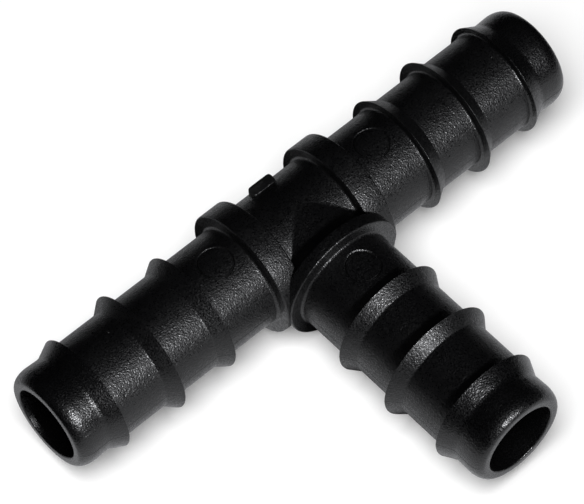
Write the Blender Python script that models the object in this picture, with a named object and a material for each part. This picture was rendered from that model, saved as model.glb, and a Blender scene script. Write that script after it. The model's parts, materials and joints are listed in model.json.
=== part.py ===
"""Insert tee for soft irrigation pipe: a short cross body with three barbed spigots.

The real tee is one plastic moulding with nothing inside it. Here it is built as the
regions that the mould forms, each a closed solid with its own name, and neighbouring
regions are parted by a slit of GAP.

Metres, +Z up. The run lies along X and the branch points to -Y. The tee lies flat with
its three collars touching z = 0, and the origin is under the middle of its outline.
"""

import math
from collections import namedtuple

import bmesh
import bpy
from mathutils import Matrix, Vector

# --- Driving dimensions ---------------------------------------------------------------
BORE_R = 0.00475              # water way, the same in all three arms
STEM_R = 0.0066               # smooth tube that the pipe slides over
COLLAR_R = 0.0083             # rim that the pipe is pushed up to
HUB_RUN_R = 0.0069            # cross body, the tube along the run
HUB_BRANCH_R = 0.0068         # cross body, the tube towards the branch

RUN_FACE = 0.0086             # from the crossing of the axes to a run collar's outer face
RUN_COLLAR = 0.0032           # width of a run collar
BRANCH_FACE = 0.0085
BRANCH_COLLAR = 0.0017

SPIGOT = 0.0297               # from a collar's outer face to the tip
RING_BACK = (0.00758, 0.01546)    # from a collar's outer face to a ring's square back
RING_CREST_R = (0.0077, 0.0079)
RING_SLOPE = (0.0018, 0.00163)    # from a ring's square back to the foot of its slope
NOSE_BACK = 0.02357
NOSE_CREST_R = 0.0075
BARB_LAND = 0.00005           # cylindrical strip along a crest

NECK_R = 0.0065               # foot of the nose barb's slope
NECK_FROM_BACK = 0.00205
NOSE_R = 0.0066
NOSE_ROUND = 0.0019           # length of the rounded end
TIP_R = 0.0055                # outer edge of the flat ring at the tip
LIP_R = 0.005                 # inner edge of that ring, where the bore's lip starts
LIP_DEPTH = 0.0003

PIN_R = 0.0021                # ejector pin, which left its flat end in each stem
PIN_FLAT = 0.0064             # height of that flat over the arm's axis
PIN_FROM_RUN_FACE = 0.0036
PIN_FROM_BRANCH_FACE = 0.0034

TAB_X = (-0.0025, 0.00095)    # trimmed gate on the hub's back shoulder, from the crossing
TAB_BACK = 0.0055             # its upright back face
TAB_TOP = 0.0058              # its flat top, where the runner was cut off
TAB_ROUND = 0.0002

GAP = 0.0003                  # slit between neighbouring regions
COLLAR_EDGE = 0.0002          # broken edges of a collar
SEGMENTS = 48                 # sides of every round shape
ARC_STEPS = 5                 # straight pieces in a curve of a profile
SHARP_ANGLE = math.radians(35)

# Each arm points from the crossing along direction; face is its collar's outer face
Arm = namedtuple("Arm", "name direction face collar pin")
ARMS = (
    Arm("left", (-1, 0, 0), RUN_FACE, RUN_COLLAR, PIN_FROM_RUN_FACE),
    Arm("right", (1, 0, 0), RUN_FACE, RUN_COLLAR, PIN_FROM_RUN_FACE),
    Arm("branch", (0, -1, 0), BRANCH_FACE, BRANCH_COLLAR, PIN_FROM_BRANCH_FACE),
)

# The crossing of the axes, placed so that the outline is centred over the origin
CROSSING = Vector((0, (BRANCH_FACE + SPIGOT - COLLAR_R) / 2, COLLAR_R))


# --- Helpers --------------------------------------------------------------------------
def clear_scene():
    """Remove the objects that the file opened with."""
    for leftover in list(bpy.data.objects):
        bpy.data.objects.remove(leftover, do_unlink=True)


def plastic(name, roughness=0.42):
    """Black moulded plastic for one region."""
    material = bpy.data.materials.new(name)
    material.use_nodes = True
    shader = material.node_tree.nodes["Principled BSDF"]
    shader.inputs["Base Color"].default_value = (0.012, 0.012, 0.013, 1)
    shader.inputs["Roughness"].default_value = roughness
    shader.inputs["Metallic"].default_value = 0
    return material


def add_empty(name, location=(0, 0, 0), parent=None):
    """An empty to hang other objects on."""
    empty = bpy.data.objects.new(name, None)
    bpy.context.scene.collection.objects.link(empty)
    empty.location = location
    empty.parent = parent
    return empty


def add_solid(name, shape, parent, roughness=0.42):
    """Turn a finished bmesh into an object with its own material."""
    mesh = bpy.data.meshes.new(name)
    bmesh.ops.recalc_face_normals(shape, faces=shape.faces)
    shape.to_mesh(mesh)
    shape.free()
    mesh.shade_smooth()
    mesh.set_sharp_from_angle(angle=SHARP_ANGLE)
    mesh.materials.append(plastic(name, roughness))
    solid = bpy.data.objects.new(name, mesh)
    bpy.context.scene.collection.objects.link(solid)
    solid.parent = parent
    return solid


def turned(outline):
    """The ring that a closed outline of (radius, height) points sweeps about Z."""
    shape = bmesh.new()
    ring = [shape.verts.new((radius, 0, height)) for radius, height in outline]
    sides = [shape.edges.new(pair) for pair in zip(ring, ring[1:] + ring[:1])]
    bmesh.ops.spin(
        shape, geom=ring + sides, cent=(0, 0, 0), axis=(0, 0, 1),
        angle=2 * math.pi, steps=SEGMENTS, use_merge=True,
    )
    return shape


def cylinder(radius, start, end):
    """A closed cylinder along Z from start to end."""
    shape = bmesh.new()
    bmesh.ops.create_cone(
        shape, cap_ends=True, segments=SEGMENTS, radius1=radius, radius2=radius,
        depth=end - start, matrix=Matrix.Translation((0, 0, (start + end) / 2)),
    )
    return shape


def combine(solid, operand, operation):
    """Add or cut away an operand, which is then only a guide."""
    boolean = solid.modifiers.new(operand.name, "BOOLEAN")
    boolean.object = operand
    boolean.operation = operation
    boolean.solver = "EXACT"
    operand.hide_render = True
    operand.display_type = "WIRE"


def block(low, high, turn=0):
    """A box between two corners, turned about Z through its middle."""
    size = Vector(high) - Vector(low)
    shape = bmesh.new()
    placing = Matrix.Translation(Vector(low) + size / 2) @ Matrix.Rotation(turn, 4, "Z")
    bmesh.ops.create_cube(shape, size=1, matrix=placing @ Matrix.Diagonal((*size, 1)))
    return shape


def quarter(start, end):
    """Points of a quarter ellipse from start to end, leaving start along the axis."""
    points = []
    for step in range(ARC_STEPS + 1):
        turn = math.pi / 2 * step / ARC_STEPS
        radius = end[0] + (start[0] - end[0]) * math.cos(turn)
        height = start[1] + (end[1] - start[1]) * math.sin(turn)
        points.append((radius, height))
    return points


# --- Regions of the moulding ----------------------------------------------------------
def build_hub(tee, axes):
    """The cross body between the collars: two tubes, bored through and cut to length."""
    run_tube = cylinder(HUB_RUN_R, -RUN_FACE, RUN_FACE)
    branch_tube = cylinder(HUB_BRANCH_R, 0, BRANCH_FACE)
    run_bore = cylinder(BORE_R, -SPIGOT, SPIGOT)
    branch_bore = cylinder(BORE_R, 0, SPIGOT)
    run_end = RUN_FACE - RUN_COLLAR - GAP
    branch_end = BRANCH_FACE - BRANCH_COLLAR - GAP
    limits = block((-run_end, -branch_end, -COLLAR_R), (run_end, COLLAR_R, COLLAR_R))

    hub = add_solid("hub_body", run_tube, axes["right"])
    combine(hub, add_solid("branch_tube_guide", branch_tube, axes["branch"]), "UNION")
    combine(hub, add_solid("run_bore_cutter", run_bore, axes["right"]), "DIFFERENCE")
    combine(hub, add_solid("branch_bore_cutter", branch_bore, axes["branch"]), "DIFFERENCE")
    combine(hub, add_solid("hub_limits", limits, tee), "INTERSECT")


def build_gate_tab(tee, axes):
    """The stub that is left where the plastic was fed into the mould, on the run tube."""
    low, high = (TAB_X[0], 0, 0), (TAB_X[1], TAB_BACK, TAB_TOP)
    tab = add_solid("gate_tab", block(low, high), tee)
    bevel = tab.modifiers.new("rounded corners", "BEVEL")
    bevel.width = TAB_ROUND
    bevel.segments = 2
    seat = cylinder(HUB_RUN_R + GAP, -RUN_FACE, RUN_FACE)
    combine(tab, add_solid("gate_seat_cutter", seat, axes["right"]), "DIFFERENCE")


def mitre_block(name, tee, shift):
    """A block pointing back along the branch, whose two near sides lie at 45 degrees.

    Two collars of one radius meet on those planes. The block's corner is at the
    crossing, moved out along the branch by shift.
    """
    side = 3 * COLLAR_R
    middle = -shift - side / math.sqrt(2)
    low = (-side / 2, middle - side / 2, -side / 2)
    high = (side / 2, middle + side / 2, side / 2)
    return add_solid(name, block(low, high, turn=math.pi / 4), tee)


def build_collar(arm, axis, tee):
    """The rim that stops the pipe, mitred where it meets the next collar."""
    low, high = arm.face - arm.collar, arm.face
    inner, rim = STEM_R + GAP, COLLAR_R - COLLAR_EDGE
    outline = [
        (rim, high), (COLLAR_R, high - COLLAR_EDGE), (COLLAR_R, low + COLLAR_EDGE),
        (rim, low), (inner, low), (inner, high),
    ]
    collar = add_solid(f"{arm.name}_collar", turned(outline), axis)
    mitre_gap = GAP / math.sqrt(2)
    if arm.name == "branch":
        keep = mitre_block("branch_mitre_guide", tee, mitre_gap)
        combine(collar, keep, "INTERSECT")
    else:
        cut = mitre_block(f"{arm.name}_mitre_cutter", tee, -mitre_gap)
        combine(collar, cut, "DIFFERENCE")


def build_stem(arm, axis):
    """The tube from under the collar to the nose barb, with the ejector pin's flat."""
    low = arm.face - arm.collar
    high = arm.face + NOSE_BACK - GAP
    outline = [(STEM_R, high), (STEM_R, low), (BORE_R, low), (BORE_R, high)]
    stem = add_solid(f"{arm.name}_stem", turned(outline), axis)
    pin = add_solid(f"{arm.name}_pin_cutter", cylinder(PIN_R, PIN_FLAT, COLLAR_R), axis)
    pin.location = (0, 0, arm.face + arm.pin)
    pin.rotation_euler = (-math.pi / 2, 0, 0)
    combine(stem, pin, "DIFFERENCE")


def build_barb_ring(arm, axis, number):
    """One saw-tooth ring: square towards the collar, sloping towards the tip."""
    back = arm.face + RING_BACK[number]
    crest = RING_CREST_R[number]
    inner = STEM_R + GAP
    slope = (RING_SLOPE[number] - BARB_LAND) / (crest - STEM_R)
    foot = back + BARB_LAND + (crest - inner) * slope
    outline = [(inner, foot), (crest, back + BARB_LAND), (crest, back), (inner, back)]
    add_solid(f"{arm.name}_barb_{number + 1}", turned(outline), axis)


def build_nose_barb(arm, axis):
    """The last barb, whose slope runs down to the neck of the rounded nose."""
    back = arm.face + NOSE_BACK
    tip = arm.face + SPIGOT
    neck = (NECK_R, back + NECK_FROM_BACK)
    rounding = quarter((NOSE_R, tip - NOSE_ROUND), (TIP_R, tip))
    outline = rounding[::-1] + [
        neck, (NOSE_CREST_R, back + BARB_LAND), (NOSE_CREST_R, back),
        (BORE_R, back), (BORE_R, tip - LIP_DEPTH), (LIP_R, tip),
    ]
    add_solid(f"{arm.name}_nose_barb", turned(outline), axis, roughness=0.32)


def build_tee():
    """Hang every region on the axes of the tee."""
    clear_scene()
    tee = add_empty("tee_crossing", CROSSING)
    axes = {}
    for arm in ARMS:
        axis = add_empty(f"{arm.name}_axis", parent=tee)
        # local Z runs out along the arm and local Y points up
        axis.rotation_mode = "QUATERNION"
        axis.rotation_quaternion = Vector(arm.direction).to_track_quat("Z", "Y")
        axes[arm.name] = axis
    build_hub(tee, axes)
    build_gate_tab(tee, axes)
    for arm in ARMS:
        axis = axes[arm.name]
        build_collar(arm, axis, tee)
        build_stem(arm, axis)
        for number in range(len(RING_BACK)):
            build_barb_ring(arm, axis, number)
        build_nose_barb(arm, axis)


build_tee()
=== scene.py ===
# %% [markdown]
# # A barbed tee for soft irrigation pipe
# The real thing is a single injection moulding in black plastic: a short cross body with
# three hollow spigots, each with a collar that stops the pipe and three barbs that hold it.
# The frame holds it as simple solids, one for each region of the moulding. This script
# gives every region a finer surface with rounded edges, the marks that the mould leaves,
# and a plastic with a real grain, and leaves all sizes as they are.

import json
import math

import bmesh
import bpy
from mathutils import Matrix, Vector

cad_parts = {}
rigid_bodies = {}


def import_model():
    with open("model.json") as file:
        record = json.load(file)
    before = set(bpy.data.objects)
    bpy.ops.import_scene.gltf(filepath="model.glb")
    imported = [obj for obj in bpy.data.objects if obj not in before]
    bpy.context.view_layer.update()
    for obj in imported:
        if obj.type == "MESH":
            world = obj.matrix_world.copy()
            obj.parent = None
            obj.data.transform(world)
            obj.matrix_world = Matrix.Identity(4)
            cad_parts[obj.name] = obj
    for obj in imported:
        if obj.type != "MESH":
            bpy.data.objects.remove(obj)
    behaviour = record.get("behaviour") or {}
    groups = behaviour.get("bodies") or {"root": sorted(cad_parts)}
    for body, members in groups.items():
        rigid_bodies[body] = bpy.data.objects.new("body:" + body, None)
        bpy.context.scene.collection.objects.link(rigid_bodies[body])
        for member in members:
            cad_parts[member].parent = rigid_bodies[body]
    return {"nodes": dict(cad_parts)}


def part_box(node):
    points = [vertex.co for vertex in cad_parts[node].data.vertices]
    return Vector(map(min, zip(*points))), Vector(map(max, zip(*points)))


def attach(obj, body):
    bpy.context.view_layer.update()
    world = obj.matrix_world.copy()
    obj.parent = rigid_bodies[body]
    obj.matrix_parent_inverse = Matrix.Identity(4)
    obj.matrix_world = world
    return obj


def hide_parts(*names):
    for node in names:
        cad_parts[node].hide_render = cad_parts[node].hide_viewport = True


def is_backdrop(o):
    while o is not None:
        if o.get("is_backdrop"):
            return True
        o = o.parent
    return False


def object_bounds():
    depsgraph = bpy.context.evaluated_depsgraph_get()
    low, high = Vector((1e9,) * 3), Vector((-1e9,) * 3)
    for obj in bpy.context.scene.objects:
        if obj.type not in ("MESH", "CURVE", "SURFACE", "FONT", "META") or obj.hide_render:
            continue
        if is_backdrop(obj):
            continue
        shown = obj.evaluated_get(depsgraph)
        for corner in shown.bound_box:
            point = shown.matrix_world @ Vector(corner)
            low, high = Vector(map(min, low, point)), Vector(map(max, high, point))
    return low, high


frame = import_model()
CAD_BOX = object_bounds()
MM = 0.001
print("regions in the frame:", ", ".join(sorted(frame["nodes"])))

# %% [markdown]
# ## Sizes
# Nothing is measured twice. The boxes of the frame's regions give the axes, the radii and
# the places of collars and barbs, and only what a box can't tell, such as the size of a
# rounding, is a number here.

# %% Read the sizes from the frame
def span(node, axis):
    """The lowest and highest coordinate of a region along X, Y or Z."""
    low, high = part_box(node)
    letter = "XYZ".index(axis)
    return low[letter], high[letter]


def middle(node, axis):
    return sum(span(node, axis)) / 2


def half_size(node, axis):
    low, high = span(node, axis)
    return (high - low) / 2


CROSSING = Vector((middle("branch_stem", "X"), middle("right_stem", "Y"), middle("right_stem", "Z")))
STEM_R = half_size("right_stem", "Z")
COLLAR_R = half_size("right_collar", "Z")
HUB_R = half_size("hub_body", "Z")
BORE_R = 4.75 * MM

# Each arm: the way it points, and its axis in the frame's letters
ARMS = {
    "left": (Vector((-1, 0, 0)), "X"),
    "right": (Vector((1, 0, 0)), "X"),
    "branch": (Vector((0, -1, 0)), "Y"),
}


def reach(arm, region):
    """Where a region of an arm starts and ends, counted outwards from the crossing."""
    direction, axis = ARMS[arm]
    ends = [Vector((0, 0, 0)), Vector((0, 0, 0))]
    for end, value in zip(ends, span(f"{arm}_{region}", axis)):
        end["XYZ".index(axis)] = value - CROSSING["XYZ".index(axis)]
    return sorted(end.dot(direction) for end in ends)


print("crossing of the axes:", [round(c / MM, 2) for c in CROSSING], "mm")
print("stem, collar and hub radius:", [round(r / MM, 2) for r in (STEM_R, COLLAR_R, HUB_R)], "mm")

# %% [markdown]
# ## Camera
# A long lens a good way off keeps the arms nearly parallel. The camera looks down on the tee
# from the left front, with the branch pointing to the lower right, and it leans by a few
# degrees.

# %% Place the camera
CAMERA_AZIMUTH = math.radians(-39.7)
CAMERA_ELEVATION = math.radians(57.41)
CAMERA_LEAN = math.radians(2.73)
CAMERA_DISTANCE = 436.2 * MM
CAMERA_SENSOR = 36
CAMERA_LENS = 228.6
LOOK_AT = CROSSING + Vector((-1.70, -1.26, -0.97)) * MM

camera = bpy.data.objects.new("camera", bpy.data.cameras.new("camera"))
bpy.context.scene.collection.objects.link(camera)
back = Vector((
    math.sin(CAMERA_AZIMUTH) * math.cos(CAMERA_ELEVATION),
    -math.cos(CAMERA_AZIMUTH) * math.cos(CAMERA_ELEVATION),
    math.sin(CAMERA_ELEVATION),
))
turn = (-back).to_track_quat("-Z", "Y").to_matrix().to_4x4()
camera.matrix_world = (
    Matrix.Translation(LOOK_AT + back * CAMERA_DISTANCE) @ turn @ Matrix.Rotation(-CAMERA_LEAN, 4, "Z")
)
camera.data.sensor_width = CAMERA_SENSOR
camera.data.lens = CAMERA_LENS
camera.data.clip_start = 0.01
bpy.context.scene.camera = camera
print("camera at", [round(c, 3) for c in camera.matrix_world.translation])

# %% [markdown]
# ## Floor and light
# A black part is drawn by what it mirrors. One lamp low in front gives the sparkle on the
# crowns, and the flanks mirror the white sheet that the part lies on, which is bright in
# front and in the part's own long shadow behind. The background shows none of that shadow:
# it is white, with a short soft shade round the part.
#
# So there are two sheets at one height. The floor is what the camera sees, and a broad
# lamp overhead shades it softly. The other is seen by reflections only, and it has a lamp
# of its own, which shines from nearly the same side as the front lamp. Light linking gives
# each lamp its surfaces: the front lamp lights the part only, the sheet lamp lights the
# mirrored sheet only, and the soft lamp lights all but that sheet.

# %% Make the floor, the sheet, the room and the lamps
COOL_WHITE = (0.96, 0.97, 1.0)
FLOOR_GAP = 0.02 * MM
SHEET_LIFT = 0.01 * MM
ROOM_LIGHT = 0.006


def lie_flat(name, low, high, height, material):
    """A flat sheet between two corners, which isn't part of the object."""
    corners = [(low[0], low[1], 0), (high[0], low[1], 0), (high[0], high[1], 0), (low[0], high[1], 0)]
    mesh = bpy.data.meshes.new(name)
    mesh.from_pydata(corners, [], [(0, 1, 2, 3)])
    mesh.materials.append(material)
    sheet = bpy.data.objects.new(name, mesh)
    sheet.location.z = height
    bpy.context.scene.collection.objects.link(sheet)
    sheet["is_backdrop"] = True
    return sheet


def matt_material(name, grey, glow):
    """Matt paper that also gives off a little light of its own."""
    material = bpy.data.materials.new(name)
    material.use_nodes = True
    shader = material.node_tree.nodes["Principled BSDF"]
    shader.inputs["Base Color"].default_value = (grey, grey, grey, 1)
    shader.inputs["Roughness"].default_value = 1
    shader.inputs["Specular IOR Level"].default_value = 0
    shader.inputs["Emission Color"].default_value = (1, 1, 1, 1)
    shader.inputs["Emission Strength"].default_value = glow
    return material


def add_lamp(name, towards, distance, size, power, color=(1, 1, 1)):
    """A square lamp that shines back at the crossing from a direction."""
    data = bpy.data.lights.new(name, "AREA")
    data.size = size
    data.energy = power
    data.color = color
    lamp = bpy.data.objects.new(name, data)
    bpy.context.scene.collection.objects.link(lamp)
    towards = Vector(towards).normalized()
    lamp.location = CROSSING + towards * distance
    lamp.rotation_mode = "QUATERNION"
    lamp.rotation_quaternion = towards.to_track_quat("Z", "Y")
    return lamp


floor_height = CAD_BOX[0].z - FLOOR_GAP
white = matt_material("white_floor", grey=0.90, glow=0.10)
floor = lie_flat("floor", low=(-3, -3), high=(3, 3), height=floor_height, material=white)
floor.visible_glossy = False
paper = matt_material("mirrored_paper", grey=0.42, glow=0)
sheet_height = floor_height + SHEET_LIFT
sheet = lie_flat(
    "mirrored_sheet", low=(-0.055, -0.13), high=(0.075, 0.075), height=sheet_height, material=paper
)
sheet.visible_camera = False
sheet.visible_diffuse = False
sheet.visible_shadow = False


def link_lamp(lamp, state, *surfaces):
    """Make a lamp light only the given surfaces (INCLUDE), or all but them (EXCLUDE)."""
    chosen = bpy.data.collections.new(f"{lamp.name}_{state.lower()}")
    for index, surface in enumerate(surfaces):
        chosen.objects.link(surface)
        chosen.collection_objects[index].light_linking.link_state = state
    lamp.light_linking.receiver_collection = chosen


front_lamp = add_lamp(
    "front_lamp", towards=(-0.055, -0.797, 0.600), distance=1.2, size=0.16, power=15.5, color=COOL_WHITE
)
link_lamp(front_lamp, "EXCLUDE", floor, sheet)
sheet_lamp = add_lamp(
    "sheet_lamp", towards=(-0.055, -0.700, 0.710), distance=1.2, size=0.20, power=39, color=COOL_WHITE
)
sheet_lamp.visible_glossy = False
link_lamp(sheet_lamp, "INCLUDE", sheet)
soft_lamp = add_lamp("soft_lamp", towards=(-0.30, -0.25, 0.92), distance=0.5, size=0.36, power=3.6)
soft_lamp.visible_glossy = False
link_lamp(soft_lamp, "EXCLUDE", sheet)

world = bpy.data.worlds.new("room")
bpy.context.scene.world = world
world.use_nodes = True
world.node_tree.nodes["Background"].inputs["Strength"].default_value = ROOM_LIGHT
bpy.context.scene.view_settings.view_transform = "Standard"
print("sheets:", floor.name, sheet.name)
print("lamps:", front_lamp.name, sheet_lamp.name, soft_lamp.name)

# %% [markdown]
# ## What the mould leaves on the plastic
# Spark erosion leaves the steel of a mould covered in tiny craters, and the plastic copies
# them as a fine bright-speckled grain. Such a grain is far too fine to model, so it is a
# bump pattern. Several finishes use it with their own coarseness, which is what a node
# group is for: one group, placed in each material with its own values. It puts out a height
# for the bump and a roughness, and the shader stays in the material.

# %% Build the grain group
SLOW_GRAIN = 0.2
SLOW_GRAIN_SHARE = 0.5
PIT_GRAIN = 1.3
PIT_RANGE = (0.3, 0.7)


def new_group(name, inputs, outputs):
    """An empty shader group with named float inputs and outputs."""
    group = bpy.data.node_groups.new(name, "ShaderNodeTree")
    for label, default in inputs.items():
        socket = group.interface.new_socket(label, in_out="INPUT", socket_type="NodeSocketFloat")
        socket.default_value = default
    for label, kind in outputs.items():
        group.interface.new_socket(label, in_out="OUTPUT", socket_type=kind)
    return group, group.nodes.new("NodeGroupInput"), group.nodes.new("NodeGroupOutput")


def calculate(tree, operation, *values):
    """A Math node. Sockets among the values are linked, and numbers are set."""
    node = tree.nodes.new("ShaderNodeMath")
    node.operation = operation
    for slot, value in zip(node.inputs, values):
        if isinstance(value, bpy.types.NodeSocket):
            tree.links.new(value, slot)
        else:
            slot.default_value = value
    return node.outputs["Value"]


def noise(tree, scale, detail=2.0, roughness=0.5):
    """Noise on Object coordinates, so that it runs on unbroken from piece to piece."""
    place = tree.nodes.new("ShaderNodeTexCoord")
    node = tree.nodes.new("ShaderNodeTexNoise")
    node.inputs["Detail"].default_value = detail
    node.inputs["Roughness"].default_value = roughness
    tree.links.new(place.outputs["Object"], node.inputs["Vector"])
    if isinstance(scale, bpy.types.NodeSocket):
        tree.links.new(scale, node.inputs["Scale"])
    else:
        node.inputs["Scale"].default_value = scale
    return node.outputs["Fac"]


def build_grain_group():
    """Craters of a given size with a slower unevenness over them, and pits that vary in gloss."""
    group, given, result = new_group(
        "spark_grain",
        {"Grain per Metre": 3300, "Smoothest": 0.3, "Roughest": 0.5},
        {"Height": "NodeSocketFloat", "Roughness": "NodeSocketFloat"},
    )
    per_metre = given.outputs["Grain per Metre"]
    fine = noise(group, per_metre, detail=1)
    slow = noise(group, calculate(group, "MULTIPLY", per_metre, SLOW_GRAIN), detail=1)
    craters = calculate(group, "MULTIPLY_ADD", slow, SLOW_GRAIN_SHARE, fine)
    group.links.new(craters, result.inputs["Height"])

    pits = noise(group, calculate(group, "MULTIPLY", per_metre, PIT_GRAIN), detail=1)
    spread = group.nodes.new("ShaderNodeMapRange")
    spread.inputs["From Min"].default_value = PIT_RANGE[0]
    spread.inputs["From Max"].default_value = PIT_RANGE[1]
    group.links.new(pits, spread.inputs["Value"])
    group.links.new(given.outputs["Smoothest"], spread.inputs["To Min"])
    group.links.new(given.outputs["Roughest"], spread.inputs["To Max"])
    group.links.new(spread.outputs["Result"], result.inputs["Roughness"])
    return group


GRAIN = build_grain_group()
print("group", GRAIN.name, "with", len(GRAIN.nodes), "nodes")

# %% [markdown]
# Handling adds a little more: pale dust in faint clouds and a few short scuffs. That is a
# second group, with a colour and a mask as its outputs.

# %% Build the handling group
CLOUDS_PER_METRE = 160
CLOUD_EDGE = 0.45
CLEAN_BLACK = (0.0006, 0.0006, 0.0007, 1)
DUSTY_GREY = (0.06, 0.06, 0.06, 1)
SCUFF_TURN = (0.4, 0.3, 0.7)
SCUFFS_PER_METRE = (300, 2600, 2600)
SCUFF_EDGE = 0.72
SCUFF_CONTRAST = 8


def build_handling_group():
    """Black that is greyed where dust clings, and a mask of small scuffs."""
    group, given, result = new_group(
        "handling",
        {"Dust": 0.3},
        {"Color": "NodeSocketColor", "Scuffs": "NodeSocketFloat"},
    )
    clouds = noise(group, CLOUDS_PER_METRE, detail=5, roughness=0.65)
    over = calculate(group, "SUBTRACT", clouds, CLOUD_EDGE)
    dust = calculate(group, "MULTIPLY", over, given.outputs["Dust"])
    mix = group.nodes.new("ShaderNodeMix")
    mix.data_type = "RGBA"
    mix.inputs["A"].default_value = CLEAN_BLACK
    mix.inputs["B"].default_value = DUSTY_GREY
    group.links.new(dust, mix.inputs["Factor"])
    group.links.new(mix.outputs["Result"], result.inputs["Color"])

    place = group.nodes.new("ShaderNodeTexCoord")
    stretch = group.nodes.new("ShaderNodeMapping")
    stretch.inputs["Rotation"].default_value = SCUFF_TURN
    stretch.inputs["Scale"].default_value = SCUFFS_PER_METRE
    scratches = group.nodes.new("ShaderNodeTexNoise")
    scratches.inputs["Scale"].default_value = 1
    scratches.inputs["Detail"].default_value = 1
    group.links.new(place.outputs["Object"], stretch.inputs["Vector"])
    group.links.new(stretch.outputs["Vector"], scratches.inputs["Vector"])
    over = calculate(group, "SUBTRACT", scratches.outputs["Fac"], SCUFF_EDGE)
    scuffs = calculate(group, "MULTIPLY", over, SCUFF_CONTRAST)
    scuffs = calculate(group, "MINIMUM", calculate(group, "MAXIMUM", scuffs, 0), 1)
    group.links.new(scuffs, result.inputs["Scuffs"])
    return group


HANDLING = build_handling_group()
print("group", HANDLING.name, "with", len(HANDLING.nodes), "nodes")

# %% [markdown]
# ## The plastic
# One function mixes the finishes. The body has the full grain. The noses were polished in
# the mould so that pipe slides on, and the tab where the plastic was fed in was cut off, so
# it is torn and dull.

# %% Mix the finishes
PLASTIC_IOR = 1.49
SCUFF_DULLNESS = 0.15
SCUFF_DEPTH = 0.4


def black_plastic(name, grain_per_metre, grain_depth, smoothest, roughest, dust):
    """Black moulded plastic with its grain in the Bump node."""
    material = bpy.data.materials.new(name)
    material.use_nodes = True
    tree = material.node_tree
    shader = tree.nodes["Principled BSDF"]
    shader.inputs["Metallic"].default_value = 0
    shader.inputs["IOR"].default_value = PLASTIC_IOR

    grain = tree.nodes.new("ShaderNodeGroup")
    grain.node_tree = GRAIN
    grain.inputs["Grain per Metre"].default_value = grain_per_metre
    grain.inputs["Smoothest"].default_value = smoothest
    grain.inputs["Roughest"].default_value = roughest
    handling = tree.nodes.new("ShaderNodeGroup")
    handling.node_tree = HANDLING
    handling.inputs["Dust"].default_value = dust
    tree.links.new(handling.outputs["Color"], shader.inputs["Base Color"])

    scuffs = handling.outputs["Scuffs"]
    duller = calculate(tree, "MULTIPLY_ADD", scuffs, SCUFF_DULLNESS, grain.outputs["Roughness"])
    tree.links.new(duller, shader.inputs["Roughness"])
    lowered = calculate(tree, "MULTIPLY_ADD", scuffs, -SCUFF_DEPTH, grain.outputs["Height"])
    bump = tree.nodes.new("ShaderNodeBump")
    bump.inputs["Distance"].default_value = grain_depth
    tree.links.new(lowered, bump.inputs["Height"])
    tree.links.new(bump.outputs["Normal"], shader.inputs["Normal"])
    return material


BODY_PLASTIC = black_plastic(
    "grained_plastic",
    grain_per_metre=4800,
    grain_depth=0.062 * MM,
    smoothest=0.22,
    roughest=0.62,
    dust=0.05,
)
NOSE_PLASTIC = black_plastic(
    "polished_plastic",
    grain_per_metre=4800,
    grain_depth=0.045 * MM,
    smoothest=0.18,
    roughest=0.46,
    dust=0.04,
)
CUT_PLASTIC = black_plastic(
    "torn_plastic",
    grain_per_metre=1800,
    grain_depth=0.20 * MM,
    smoothest=0.40,
    roughest=0.50,
    dust=0.3,
)
print("finishes:", BODY_PLASTIC.name, NOSE_PLASTIC.name, CUT_PLASTIC.name)

# %% [markdown]
# ## Turning an outline
# Almost every region is round about its arm's axis, so one geometry tree turns them all. It
# takes an outline drawn as a closed poly curve, with X as the distance from the axis and Y
# as the distance along the arm. Each corner's rounding is kept in the point's radius, and a
# Fillet Curve node cuts the arc. Curve to Mesh then sweeps the outline round a circle.
#
# A mould opens at a parting plane, and the plastic creeps a hair into the joint. So the
# last step raises a fine ridge where the plane cuts the outside. The sides of the circle
# are first crowded towards that plane, so that the ridge can be thin.

# %% Build the turning tree
SIDES = 160
CORNER_STEPS = 5
SEAM_HEIGHT = 0.03 * MM
SEAM_WIDTH = 0.09 * MM
SPIN_R = 1 * MM
CROWDING = 0.46
MERGE_DISTANCE = 0.0001 * MM


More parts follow.
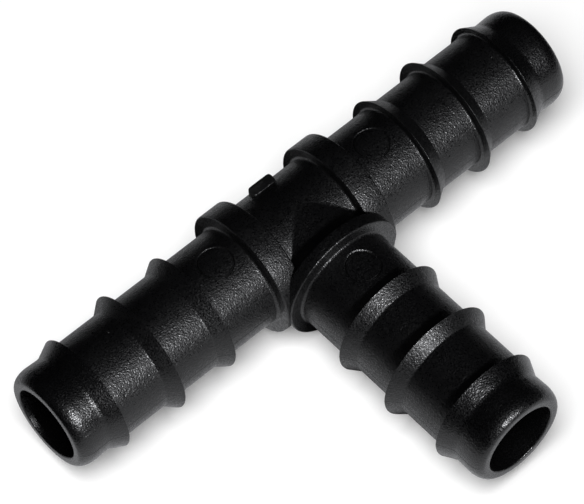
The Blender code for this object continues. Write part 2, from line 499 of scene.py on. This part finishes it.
def build_turning_tree():
    tree = bpy.data.node_groups.new("turn_outline", "GeometryNodeTree")
    io = tree.interface
    io.new_socket("Outline", in_out="INPUT", socket_type="NodeSocketGeometry")
    for label, kind, value in (
        ("Sides", "NodeSocketInt", SIDES),
        ("Corner Steps", "NodeSocketInt", CORNER_STEPS),
        ("Seam Height", "NodeSocketFloat", SEAM_HEIGHT),
        ("Seam Width", "NodeSocketFloat", SEAM_WIDTH),
    ):
        io.new_socket(label, in_out="INPUT", socket_type=kind).default_value = value
    io.new_socket("Material", in_out="INPUT", socket_type="NodeSocketMaterial")
    io.new_socket("Geometry", in_out="OUTPUT", socket_type="NodeSocketGeometry")
    given = tree.nodes.new("NodeGroupInput").outputs
    link = tree.links.new

    # round the outline's corners, and count its X from the circle that it is swept on
    rounding = tree.nodes.new("GeometryNodeFilletCurve")
    rounding.mode = "POLY"
    rounding.inputs["Limit Radius"].default_value = True
    link(given["Outline"], rounding.inputs["Curve"])
    link(given["Corner Steps"], rounding.inputs["Count"])
    link(tree.nodes.new("GeometryNodeInputRadius").outputs["Radius"], rounding.inputs["Radius"])
    shift = tree.nodes.new("GeometryNodeTransform")
    shift.inputs["Translation"].default_value = (-SPIN_R, 0, 0)
    shift.inputs["Scale"].default_value = (1, -1, 1)
    link(rounding.outputs["Curve"], shift.inputs["Geometry"])

    # sweep it round
    circle = tree.nodes.new("GeometryNodeCurvePrimitiveCircle")
    circle.inputs["Radius"].default_value = SPIN_R
    link(given["Sides"], circle.inputs["Resolution"])
    even = tree.nodes.new("GeometryNodeSetCurveRadius")
    even.inputs["Radius"].default_value = 1
    link(circle.outputs["Curve"], even.inputs["Curve"])
    sweep = tree.nodes.new("GeometryNodeCurveToMesh")
    link(even.outputs["Curve"], sweep.inputs["Curve"])
    link(shift.outputs["Geometry"], sweep.inputs["Profile Curve"])
    outwards = tree.nodes.new("GeometryNodeFlipFaces")
    link(sweep.outputs["Mesh"], outwards.inputs["Mesh"])

    # crowd the sides towards the parting plane, which is local Y = 0
    place = tree.nodes.new("ShaderNodeSeparateXYZ")
    link(tree.nodes.new("GeometryNodeInputPosition").outputs["Position"], place.inputs["Vector"])
    angle = calculate(tree, "ARCTAN2", place.outputs["Y"], place.outputs["X"])
    pull = calculate(tree, "SINE", calculate(tree, "MULTIPLY", angle, 2))
    crowded = calculate(tree, "MULTIPLY_ADD", pull, -CROWDING, angle)
    squares = calculate(tree, "MULTIPLY", place.outputs["X"], place.outputs["X"])
    squares = calculate(
        tree, "ADD", squares, calculate(tree, "MULTIPLY", place.outputs["Y"], place.outputs["Y"])
    )
    distance = calculate(tree, "SQRT", squares)

    # raise the seam on what faces away from the axis
    normal = tree.nodes.new("ShaderNodeSeparateXYZ")
    link(tree.nodes.new("GeometryNodeInputNormal").outputs["Normal"], normal.inputs["Vector"])
    outward = calculate(
        tree, "ADD",
        calculate(tree, "MULTIPLY", normal.outputs["X"], place.outputs["X"]),
        calculate(tree, "MULTIPLY", normal.outputs["Y"], place.outputs["Y"]),
    )
    outward = calculate(tree, "DIVIDE", outward, distance)
    across = calculate(
        tree, "ABSOLUTE", calculate(tree, "MULTIPLY", calculate(tree, "SINE", crowded), distance)
    )
    hill = tree.nodes.new("ShaderNodeMapRange")
    hill.interpolation_type = "SMOOTHSTEP"
    hill.inputs["From Min"].default_value = 0
    hill.inputs["To Max"].default_value = 0
    link(across, hill.inputs["Value"])
    link(given["Seam Width"], hill.inputs["From Max"])
    link(given["Seam Height"], hill.inputs["To Min"])
    outside = calculate(tree, "MAXIMUM", outward, 0)
    raised = calculate(tree, "MULTIPLY_ADD", hill.outputs["Result"], outside, distance)

    spot = tree.nodes.new("ShaderNodeCombineXYZ")
    link(calculate(tree, "MULTIPLY", calculate(tree, "COSINE", crowded), raised), spot.inputs["X"])
    link(calculate(tree, "MULTIPLY", calculate(tree, "SINE", crowded), raised), spot.inputs["Y"])
    link(place.outputs["Z"], spot.inputs["Z"])
    settle = tree.nodes.new("GeometryNodeSetPosition")
    link(outwards.outputs["Mesh"], settle.inputs["Geometry"])
    link(spot.outputs["Vector"], settle.inputs["Position"])

    smooth = tree.nodes.new("GeometryNodeSetShadeSmooth")
    link(settle.outputs["Geometry"], smooth.inputs["Geometry"])
    realize = tree.nodes.new("GeometryNodeRealizeInstances")
    link(smooth.outputs["Geometry"], realize.inputs["Geometry"])
    paint = tree.nodes.new("GeometryNodeSetMaterial")
    link(realize.outputs["Geometry"], paint.inputs["Geometry"])
    link(given["Material"], paint.inputs["Material"])
    link(paint.outputs["Geometry"], tree.nodes.new("NodeGroupOutput").inputs["Geometry"])
    return tree


TURNING = build_turning_tree()
print("tree", TURNING.name, "with", len(TURNING.nodes), "nodes")

# %% [markdown]
# The next helpers use the tree: one draws the outline as a curve, sets the inputs by their
# identifiers and takes the result out as a plain mesh. Another lays that mesh along an arm.
# It takes local X to the level direction across the arm, so that the parting plane lies
# level and cuts every ring at half its height.

# %% Turn outlines and lay them along an arm
def arm_matrix(arm):
    """Takes local Z to the arm's direction and local Y to up, from the crossing."""
    direction, _ = ARMS[arm]
    return Matrix.Translation(CROSSING) @ direction.to_track_quat("Z", "Y").to_matrix().to_4x4()


def set_input(modifier, label, value):
    """Give a geometry tree's input a value by the socket's identifier."""
    for item in modifier.node_group.interface.items_tree:
        if item.in_out == "INPUT" and item.name == label:
            modifier[item.identifier] = value


def lay_along(arm, mesh):
    """Move a turned mesh from the origin's Z axis to its arm."""
    mesh.transform(arm_matrix(arm))
    return mesh


def as_piece(name, mesh, material_slot, *nodes):
    """Link a finished mesh as a piece of the object that stands for frame nodes."""
    piece = bpy.data.objects.new(name, mesh)
    bpy.context.scene.collection.objects.link(piece)
    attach(piece, "root")
    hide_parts(*nodes)
    return piece


def turn_outline(name, outline, material):
    """Turn (radius, height, rounding) corners, in metres, into a closed ring."""
    curve = bpy.data.curves.new(name, "CURVE")
    curve.dimensions = "3D"
    spline = curve.splines.new("POLY")
    spline.points.add(len(outline) - 1)
    spline.use_cyclic_u = True
    for point, (radius, height, rounding) in zip(spline.points, outline):
        point.co = (radius, height, 0, 1)
        point.radius = rounding
    drawing = bpy.data.objects.new(name, curve)
    bpy.context.scene.collection.objects.link(drawing)
    modifier = drawing.modifiers.new("turn", "NODES")
    modifier.node_group = TURNING
    set_input(modifier, "Material", material)
    evaluated = drawing.evaluated_get(bpy.context.evaluated_depsgraph_get())
    mesh = bpy.data.meshes.new_from_object(evaluated)
    bpy.data.objects.remove(drawing, do_unlink=True)
    face_outwards(mesh)
    return mesh


def face_outwards(mesh):
    """Merge doubles and turn every face of a closed mesh outwards."""
    shape = bmesh.new()
    shape.from_mesh(mesh)
    bmesh.ops.remove_doubles(shape, verts=shape.verts, dist=MERGE_DISTANCE)
    bmesh.ops.recalc_face_normals(shape, faces=shape.faces)
    shape.to_mesh(mesh)
    shape.free()


# %% [markdown]
# ## Collars
# A collar is a plain rim, but its edges are broken and its roots are filleted. The outline
# runs on for a little under the tube at either side, a hair below its surface, so that the
# fillet flows out of the tube with no step. Where two collars meet at an inside corner,
# they simply pass into each other, as they do in the mould.

# %% Make the collars
SUNK = 0.004 * MM
SKIRT = 0.5 * MM
CORE_R = STEM_R - 0.5 * MM
ROOT_ROUND = 0.38 * MM
RIM_ROUND = 0.2 * MM


def make_collar(arm):
    low, high = reach(arm, "collar")
    outline = [
        (CORE_R, low - SKIRT, 0),
        (HUB_R - SUNK, low - SKIRT, 0),
        (HUB_R - SUNK, low, ROOT_ROUND),
        (COLLAR_R, low, RIM_ROUND),
        (COLLAR_R, high, RIM_ROUND),
        (STEM_R - SUNK, high, ROOT_ROUND),
        (STEM_R - SUNK, high + SKIRT, 0),
        (CORE_R, high + SKIRT, 0),
    ]
    return lay_along(arm, turn_outline(f"{arm}_stop_collar", outline, BODY_PLASTIC))


for arm in ARMS:
    collar = as_piece(f"{arm}_stop_collar", make_collar(arm), "black_plastic", f"{arm}_collar")
    print(collar.name, len(collar.data.polygons), "faces")

# %% [markdown]
# ## Barbs
# Each spigot has two saw-tooth rings: square towards the collar, so that the pipe can't
# creep back, and sloping towards the tip, so that it slides on. The second is the taller and
# the steeper one. The crest is a sharp edge, barely rounded.

# %% Make the barb rings
CREST_LAND = 0.06 * MM
CREST_ROUND = 0.04 * MM
SLOPE_LENGTH = {1: 1.80 * MM, 2: 1.63 * MM}
SLOPE_FOOT_ROUND = 0.35 * MM
BACK_ROOT_ROUND = 0.3 * MM


def make_barb(arm, number):
    back, _ = reach(arm, f"barb_{number}")
    crest = half_size(f"{arm}_barb_{number}", "Z")
    foot = back + SLOPE_LENGTH[number]
    outline = [
        (CORE_R, back - SKIRT, 0),
        (STEM_R - SUNK, back - SKIRT, 0),
        (STEM_R - SUNK, back, BACK_ROOT_ROUND),
        (crest, back, CREST_ROUND),
        (crest, back + CREST_LAND, CREST_ROUND),
        (STEM_R - SUNK, foot, SLOPE_FOOT_ROUND),
        (STEM_R - SUNK, foot + SKIRT, 0),
        (CORE_R, foot + SKIRT, 0),
    ]
    return lay_along(arm, turn_outline(f"{arm}_barb_ring_{number}", outline, BODY_PLASTIC))


for arm in ARMS:
    for number in (1, 2):
        ring = as_piece(
            f"{arm}_barb_ring_{number}", make_barb(arm, number), "black_plastic", f"{arm}_barb_{number}"
        )
        print(ring.name, len(ring.data.polygons), "faces")

# %% [markdown]
# ## Noses
# The last barb slopes more gently. At its foot, the nose swells a little again and then
# rounds over, by a quarter of an ellipse, to a narrow flat ring at the mouth of the bore.
# The bore of a nose is a hair wider than the stem's, so that their skins don't coincide.

# %% Make the noses
LINING_R = BORE_R + 0.01 * MM
LINING_LAP = 0.05 * MM
SKIRT_INSIDE_R = LINING_R + 0.6 * MM
NECK_R = 6.5 * MM
NECK_FROM_BACK = 2.05 * MM
NECK_ROUND = 1.3 * MM
NOSE_R = 6.58 * MM
NOSE_ROUNDING = 2.0 * MM
TIP_R = 5.55 * MM
LIP_ROUND = 0.18 * MM
CURVE_STEPS = 12


def round_over(start, end):
    """Points of a quarter ellipse that leaves start along the arm and meets end square."""
    points = []
    for step in range(CURVE_STEPS + 1):
        turned = math.pi / 2 * step / CURVE_STEPS
        radius = end[0] + (start[0] - end[0]) * math.cos(turned)
        height = start[1] + (end[1] - start[1]) * math.sin(turned)
        points.append((radius, height))
    return points


def make_nose(arm):
    back, tip = reach(arm, "nose_barb")
    crest = half_size(f"{arm}_nose_barb", "Z")
    outline = [
        (LINING_R, back - LINING_LAP, 0),
        (SKIRT_INSIDE_R, back - SKIRT, 0),
        (STEM_R - SUNK, back - SKIRT, 0),
        (STEM_R - SUNK, back, BACK_ROOT_ROUND),
        (crest, back, CREST_ROUND),
        (crest, back + CREST_LAND, CREST_ROUND),
        (NECK_R, back + NECK_FROM_BACK, NECK_ROUND),
    ]
    outline += [(*point, 0) for point in round_over((NOSE_R, tip - NOSE_ROUNDING), (TIP_R, tip))]
    outline += [(LINING_R, tip, LIP_ROUND)]
    return lay_along(arm, turn_outline(f"{arm}_nose", outline, NOSE_PLASTIC))


for arm in ARMS:
    nose = as_piece(f"{arm}_nose", make_nose(arm), "black_plastic_nose", f"{arm}_nose_barb")
    print(nose.name, len(nose.data.polygons), "faces")

# %% [markdown]
# ## Stems
# A stem is the tube that carries the rings. When the mould opened, a round pin pushed on
# the top of each stem. Its end was shaped to the tube, and plastic pressed into the gap
# round it, so what is left is a fine round groove. A straight ring would cut far deeper at
# the crown of the tube than at its flanks, so the cutter is a turned ring that is then bent
# over the tube, and a Boolean takes it away. The tube has extra edge loops on both sides of
# the mark, so that the cut only disturbs the faces near it. Vents in the mould left a tiny
# pimple on two of the stems.

# %% Make the stems
GROOVE_R = 2.07 * MM
GROOVE_DEPTH = 0.18 * MM
GROOVE_FLOOR = 0.04 * MM
GROOVE_INNER_SIDE = 0.14 * MM
GROOVE_OUTER_SIDE = 0.34 * MM
CUTTER_TOP = 0.14 * MM
STEM_IN_COLLAR = 0.6 * MM
STEM_IN_NOSE = 0.3 * MM
MARK_MARGIN = 0.7 * MM
PIN_FROM_COLLAR = {"left": 3.6 * MM, "right": 3.6 * MM, "branch": 3.4 * MM}


def groove_cutter():
    """A ring with a V-shaped lower edge: steep inside, sloping outside."""
    outline = [
        (GROOVE_R - GROOVE_INNER_SIDE, CUTTER_TOP, 0),
        (GROOVE_R - GROOVE_FLOOR / 2, -GROOVE_DEPTH, 0),
        (GROOVE_R + GROOVE_FLOOR / 2, -GROOVE_DEPTH, 0),
        (GROOVE_R + GROOVE_OUTER_SIDE, CUTTER_TOP, 0),
    ]
    return turn_outline("groove_cutter", outline, BODY_PLASTIC)


def bend_over_tube(mesh, arm):
    """Raise each point by the height of the stem's surface under it."""
    across = 1 if ARMS[arm][1] == "X" else 0
    for vertex in mesh.vertices:
        vertex.co.z += math.sqrt(STEM_R ** 2 - vertex.co[across] ** 2)


def show_for_a_moment(name, mesh):
    piece = bpy.data.objects.new(name, mesh)
    bpy.context.scene.collection.objects.link(piece)
    return piece


def take_away(mesh, cutter_mesh):
    """The first mesh less the second, by an exact Boolean."""
    piece = show_for_a_moment("whole", mesh)
    cutter = show_for_a_moment("cutter", cutter_mesh)
    cut = piece.modifiers.new("cut", "BOOLEAN")
    cut.object = cutter
    cut.solver = "EXACT"
    result = bpy.data.meshes.new_from_object(piece.evaluated_get(bpy.context.evaluated_depsgraph_get()))
    bpy.data.objects.remove(piece, do_unlink=True)
    bpy.data.objects.remove(cutter, do_unlink=True)
    return result


PIMPLE_R = 0.2 * MM
PIMPLE_SUNK = 0.08 * MM
# where each pimple is: its distance from the collar, and its angle from the top towards the front
PIMPLES = {"left": (18.7 * MM, math.radians(-11.6)), "right": (22.4 * MM, math.radians(5.6))}


def add_pimple(mesh, arm):
    """Set a small ball into the surface of a stem."""
    distance, lean = PIMPLES[arm]
    outwards = Vector((0, -math.sin(lean), math.cos(lean)))
    along = ARMS[arm][0] * (reach(arm, "collar")[1] + distance)
    place = CROSSING + along + outwards * (STEM_R - PIMPLE_SUNK)
    shape = bmesh.new()
    shape.from_mesh(mesh)
    matrix = Matrix.Translation(place)
    bmesh.ops.create_uvsphere(shape, u_segments=20, v_segments=10, radius=PIMPLE_R, matrix=matrix)
    shape.to_mesh(mesh)
    shape.free()


def make_stem(arm):
    direction, _ = ARMS[arm]
    start = reach(arm, "stem")[0] + STEM_IN_COLLAR
    end = reach(arm, "nose_barb")[0] + STEM_IN_NOSE
    pin = reach(arm, "collar")[1] + PIN_FROM_COLLAR[arm]
    margin = GROOVE_R + MARK_MARGIN
    outline = [(BORE_R, start, 0)]
    outline += [(STEM_R, height, 0) for height in (start, pin - margin, pin + margin, end)]
    outline += [(BORE_R, end, 0)]
    tube = lay_along(arm, turn_outline(f"{arm}_barbed_tube", outline, BODY_PLASTIC))
    groove = groove_cutter()
    bend_over_tube(groove, arm)
    groove.transform(Matrix.Translation(CROSSING + direction * pin))
    stem = take_away(tube, groove)
    if arm in PIMPLES:
        add_pimple(stem, arm)
    stem.shade_smooth()
    stem.set_sharp_from_angle(angle=math.radians(18))
    return stem


for arm in ARMS:
    stem = as_piece(f"{arm}_barbed_tube", make_stem(arm), "black_plastic", f"{arm}_stem")
    print(stem.name, len(stem.data.polygons), "faces")

# %% [markdown]
# ## Cross body
# Between the collars, a tube along the run meets one along the branch. A Boolean of two
# round tubes leaves slivers where they cross, so this skin is laid by rule, in level slices.
# Each slice of the two tubes is a T whose straight sides come from the circles' equations.
# A small arc in each inside corner is the fillet of the mould, and the slices are crowded
# towards the parting plane, as the turned rings are, to carry the same fine seam. The bores
# are the same T with smaller radii, and faces round the three ends join the two skins. The
# body reaches a little way into the collars, which hide its ends.

# %% Lay the cross body's skin
HUB_BRANCH_R = HUB_R - 0.06 * MM
HUB_FILLET = 0.28 * MM
BORE_FILLET = 0.1 * MM
BODY_IN_RUN_COLLAR = 1.5 * MM
BODY_IN_BRANCH_COLLAR = 0.8 * MM
BORE_SHOULDER = 0.005 * MM
SKIN_MERGE_DISTANCE = 0.0005 * MM
LEVELS = 96
COLUMNS = 24
FILLET_STEPS = 5


def crowd(angle, quarter=math.pi / 2):
    """Pull an angle between -quarter and quarter towards 0."""
    share = angle / quarter * math.pi / 2
    return (share - CROWDING * math.sin(2 * share)) * quarter / (math.pi / 2)


def seam_at(distance, seam):
    """Height of the seam's ridge at a distance from the parting plane."""
    t = min(abs(distance) / SEAM_WIDTH, 1)
    return seam * (1 - t * t * (3 - 2 * t))


def tee_skin(shape, run_radius, branch_radius, run_end, branch_end, fillet, seam):
    """Add the skin of two crossing tubes to a bmesh and return its three open rims."""
    shoulder = math.acos(branch_radius / run_radius)

    def front_row(side, level):
        """One side of a slice: in along the run, round the corner, out along the branch."""
        angle = crowd(math.pi / 2 - math.pi * level / LEVELS)
        z = branch_radius * math.sin(angle)
        ridge = seam_at(z, seam)
        x_corner = branch_radius * math.cos(angle) + ridge
        y_corner = math.sqrt(run_radius ** 2 - z ** 2) + ridge
        points = []
        for step in range(COLUMNS + 1):
            points.append((run_end + (x_corner + fillet - run_end) * step / COLUMNS, y_corner))
        for step in range(1, FILLET_STEPS):
            turned = math.pi / 2 * step / FILLET_STEPS
            x = x_corner + fillet * (1 - math.sin(turned))
            points.append((x, y_corner + fillet * (1 - math.cos(turned))))
        for step in range(COLUMNS + 1):
            start = y_corner + fillet
            points.append((x_corner, start + (branch_end - start) * step / COLUMNS))
        return [shape.verts.new((side * x, -y, z)) for x, y in points]

    def rear_row(level):
        """A straight line along the rest of the run tube, from over the top round the back."""
        quarter = math.pi / 2 + shoulder
        angle = crowd(quarter - 2 * quarter * level / LEVELS, quarter)
        radius = run_radius + seam_at(run_radius * angle, seam)
        y, z = radius * math.cos(angle), radius * math.sin(angle)
        steps = [run_end + (fillet - run_end) * step / COLUMNS for step in range(COLUMNS + 1)]
        xs = [-x for x in steps] + [0] + list(reversed(steps))
        return [shape.verts.new((x, y, z)) for x in xs]

    def join_rows(rows):
        for upper, lower in zip(rows, rows[1:]):
            for a, b, c, d in zip(upper, upper[1:], lower[1:], lower):
                shape.faces.new((a, b, c, d))

    left = [front_row(-1, level) for level in range(LEVELS + 1)]
    right = [front_row(1, level) for level in range(LEVELS + 1)]
    rear = [rear_row(level) for level in range(LEVELS + 1)]
    for rows in (left, right, rear):
        join_rows(rows)

    # the two little gaps on the middle line, above and below, where the corners meet
    corner = slice(COLUMNS, COLUMNS + FILLET_STEPS + 1)
    for level in (0, LEVELS):
        rim = right[level][corner] + list(reversed(left[level][corner][:-1]))
        shape.faces.new(rim + [rear[level][COLUMNS + 1]])

    behind = list(reversed(rear[1:-1]))
    return (
        [row[0] for row in left] + [row[0] for row in behind],
        [row[0] for row in right] + [row[-1] for row in behind],
        [row[-1] for row in right] + [row[-1] for row in reversed(left[1:-1])],
    )


def build_cross_body():
    shape = bmesh.new()
    run_end = reach("right", "collar")[0] + BODY_IN_RUN_COLLAR
    branch_end = reach("branch", "collar")[0] + BODY_IN_BRANCH_COLLAR
    outside = tee_skin(shape, HUB_R, HUB_BRANCH_R, run_end, branch_end, HUB_FILLET, SEAM_HEIGHT)
    inside = tee_skin(shape, LINING_R, LINING_R - BORE_SHOULDER, run_end, branch_end, BORE_FILLET, 0)
    for outer, inner in zip(outside, inside):
        for i in range(len(outer)):
            shape.faces.new((outer[i - 1], outer[i], inner[i], inner[i - 1]))
    bmesh.ops.remove_doubles(shape, verts=shape.verts, dist=SKIN_MERGE_DISTANCE)
    bmesh.ops.recalc_face_normals(shape, faces=shape.faces)
    print("open edges of the cross body:", sum(edge.is_boundary for edge in shape.edges))
    mesh = bpy.data.meshes.new("cross_body")
    shape.to_mesh(mesh)
    shape.free()
    mesh.transform(Matrix.Translation(CROSSING))
    mesh.materials.append(BODY_PLASTIC)
    mesh.shade_smooth()
    mesh.set_sharp_from_angle(angle=math.radians(40))
    return mesh


body = as_piece("cross_body", build_cross_body(), "black_plastic", "hub_body")
print(body.name, len(body.data.polygons), "faces")

# %% [markdown]
# ## Gate tab
# The plastic was fed in over the back shoulder of the cross body. Where the runner was cut
# off, a flat-topped stub stands up out of the tube, with a tall back face and only a low
# step in front. Its upright corners are rounded. Its top is torn, so the points there are
# pushed about by a fixed rule, on a grid that is fine enough to show it.

# %% Make the gate tab
TAB_STEP = 0.24 * MM
TAB_ROOT = 1 * MM
TAB_CORNER = 0.45 * MM
TAB_EDGE = 0.1 * MM
TEAR = 0.03 * MM
TEAR_REACH = 0.5 * MM


def build_gate_tab():
    low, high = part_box("gate_tab")
    step_foot = high[2] - TAB_STEP - CROSSING.z
    front = CROSSING.y + math.sqrt(HUB_R ** 2 - step_foot ** 2)
    near = Vector((low[0], front, low[2] - TAB_ROOT))
    far = Vector(high)
    size = far - near
    shape = bmesh.new()
    placing = Matrix.Translation((near + far) / 2) @ Matrix.Diagonal((*size, 1))
    bmesh.ops.create_cube(shape, size=1, matrix=placing)
    upright = [edge for edge in shape.edges if abs(edge.verts[0].co.z - edge.verts[1].co.z) > size.z / 2]
    bmesh.ops.bevel(shape, geom=upright, offset=TAB_CORNER, segments=5, profile=0.5, affect="EDGES")
    top = [edge for edge in shape.edges if all(vertex.co.z > far.z - SUNK for vertex in edge.verts)]
    bmesh.ops.bevel(shape, geom=top, offset=TAB_EDGE, segments=3, profile=0.5, affect="EDGES")
    bmesh.ops.triangulate(shape, faces=shape.faces)
    bmesh.ops.subdivide_edges(shape, edges=shape.edges, cuts=3, use_grid_fill=True)
    for vertex in shape.verts:
        near_top = max(0, 1 - (far.z - vertex.co.z) / TEAR_REACH)
        x, y = vertex.co.x / MM, vertex.co.y / MM
        vertex.co.z -= TEAR * near_top * (1 + math.sin(5.3 * x + 1.7 * y) * math.cos(6.1 * y - 2.2 * x))
    bmesh.ops.recalc_face_normals(shape, faces=shape.faces)
    mesh = bpy.data.meshes.new("snapped_gate")
    shape.to_mesh(mesh)
    shape.free()
    mesh.materials.append(CUT_PLASTIC)
    mesh.shade_smooth()
    mesh.set_sharp_from_angle(angle=math.radians(35))
    return mesh


gate = as_piece("snapped_gate", build_gate_tab(), "black_plastic", "gate_tab")
print(gate.name, len(gate.data.polygons), "faces")

# %% [markdown]
# ## Sizes again, and the end
# The box of the finished model and the frame's box are both printed.

# %% Print the boxes and finish
NEW_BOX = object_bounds()
for title, box in (("frame", CAD_BOX), ("model", NEW_BOX)):
    print(title, [[round(c / MM, 2) for c in corner] for corner in box], "mm")
